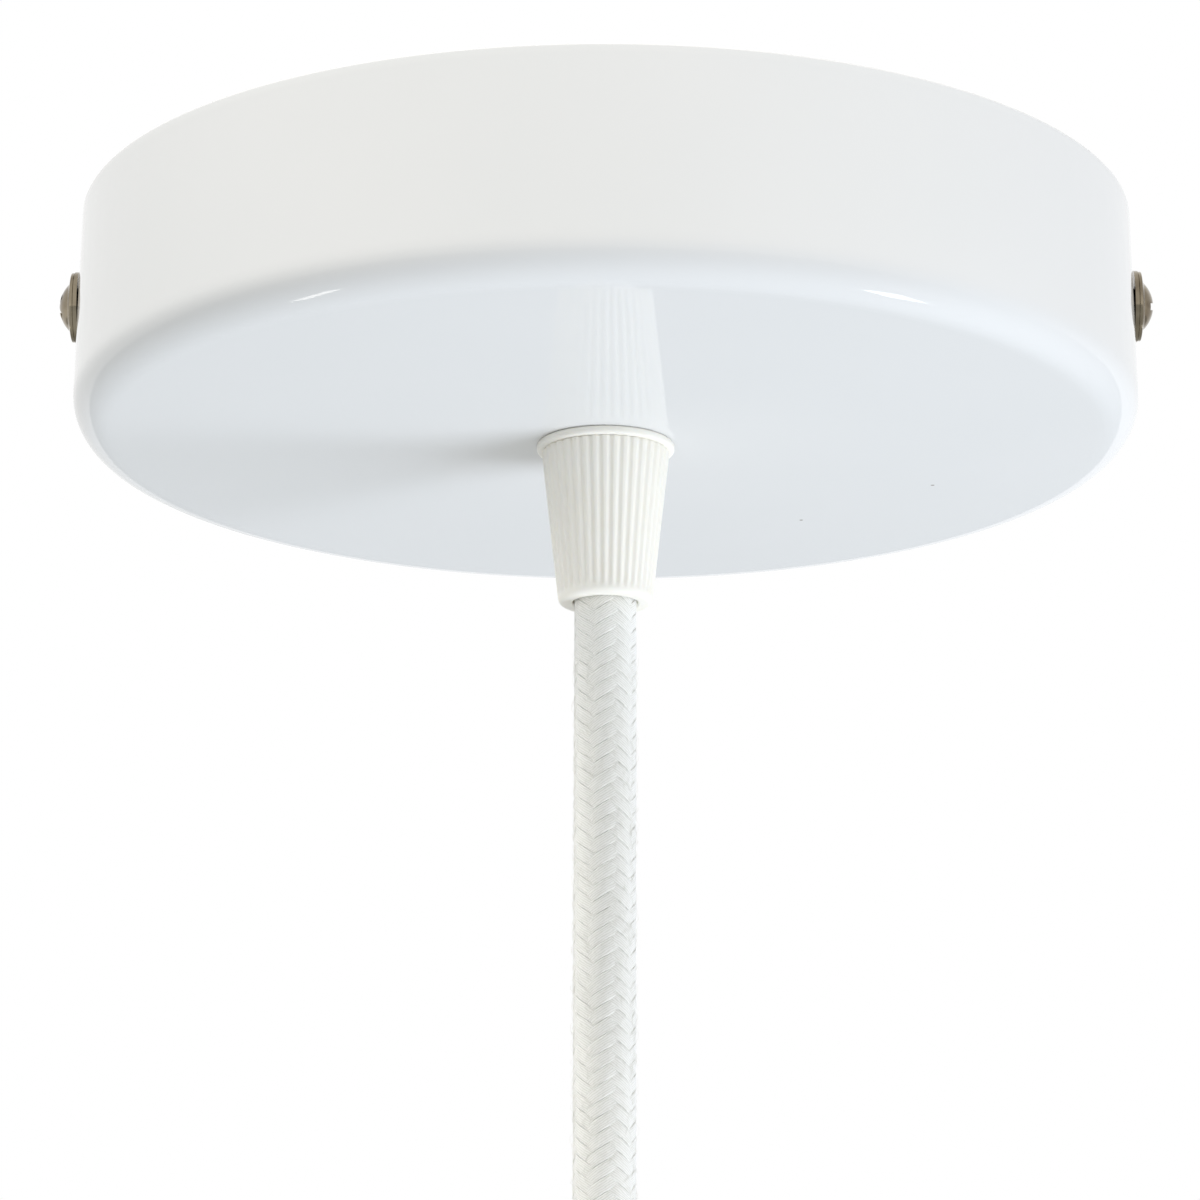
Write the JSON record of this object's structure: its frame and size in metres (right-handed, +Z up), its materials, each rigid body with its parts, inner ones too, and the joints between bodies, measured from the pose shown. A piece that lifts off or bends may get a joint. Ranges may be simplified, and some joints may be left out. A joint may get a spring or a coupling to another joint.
{
  "type": "electrical ceiling rose",
  "caption": "Round ceiling rose: a pressed cup on a strap bracket, with a fluted cord grip that holds a braided pendant cable.",
  "frame": {"origin": "middle of the ceiling plane, on the axis of the cup and the cable", "axes": "+Z up into the ceiling, X along the strap and the two side screws"},
  "size_m": [0.124, 0.1198, 0.142],
  "materials": {
    "enamel": "glossy white enamel on pressed steel",
    "zinc_steel": "zinc plated, bright",
    "nickel_plate": "warm nickel plate on brass, polished",
    "grip_nylon": "moulded natural white nylon",
    "cord_braid": "white braided textile",
    "block_nylon": "moulded natural nylon",
    "terminal_brass": "turned brass",
    "tinned_copper": "tin plated copper",
    "bare_copper": "bare copper",
    "live_insulation": "brown insulation",
    "neutral_insulation": "blue insulation",
    "earth_insulation": "green and yellow insulation",
    "shrink_sleeve": "white shrink sleeve"
  },
  "bodies": {
    "rose": {"canopy_cup": "enamel", "ceiling_bracket": "zinc_steel", "grip_stem": "grip_nylon", "grip_washer": "zinc_steel", "grip_nut": "zinc_steel", "terminal_block": "block_nylon", "terminal_tubes": "terminal_brass", "terminal_screws": "zinc_steel", "block_screw": "zinc_steel", "earth_screw": "zinc_steel", "earth_washer": "zinc_steel", "earth_ring": "tinned_copper", "core_live": "live_insulation", "core_neutral": "neutral_insulation", "core_earth": "earth_insulation", "core_conductors": "bare_copper", "cable": "cord_braid", "tail_sleeve": "shrink_sleeve", "tail_live": "live_insulation", "tail_neutral": "neutral_insulation", "tail_earth": "earth_insulation", "tail_ferrules": "tinned_copper"},
    "side_washer_right": {"side_washer_right": "nickel_plate"},
    "side_screw_right": {"side_screw_right": "nickel_plate"},
    "side_washer_left": {"side_washer_left": "nickel_plate"},
    "side_screw_left": {"side_screw_left": "nickel_plate"},
    "grip_collar": {"grip_collar": "grip_nylon"},
    "grip_cap": {"grip_cap": "grip_nylon"}
  },
  "joints": [
    {"name": "side_washer_right_slide", "type": "slide", "parent": "rose", "child": "side_washer_right", "axis": [1, 0, 0], "range_m": [0, 0.0049]},
    {"name": "side_screw_right_turn", "type": "hinge", "parent": "side_washer_right", "child": "side_screw_right", "pos_m": [0.06, 0, -0.0092], "axis": [1, 0, 0], "range_deg": [0, 2521]},
    {"name": "side_washer_left_slide", "type": "slide", "parent": "rose", "child": "side_washer_left", "axis": [-1, 0, 0], "range_m": [0, 0.0049]},
    {"name": "side_screw_left_turn", "type": "hinge", "parent": "side_washer_left", "child": "side_screw_left", "pos_m": [-0.06, 0, -0.0092], "axis": [-1, 0, 0], "range_deg": [0, 2521]},
    {"name": "grip_collar_slide", "type": "slide", "parent": "rose", "child": "grip_collar", "axis": [0, 0, -1], "range_m": [0, 0.004]},
    {"name": "grip_cap_turn", "type": "hinge", "parent": "grip_collar", "child": "grip_cap", "pos_m": [0, 0, -0.03], "axis": [0, 0, -1], "range_deg": [0, 1441]}
  ],
  "couplings": [
    {"joint": "side_screw_right_turn", "follows": "side_washer_right_slide", "rad_per_m": 8976},
    {"joint": "side_screw_left_turn", "follows": "side_washer_left_slide", "rad_per_m": 8976},
    {"joint": "grip_cap_turn", "follows": "grip_collar_slide", "rad_per_m": 6283.2}
  ]
}
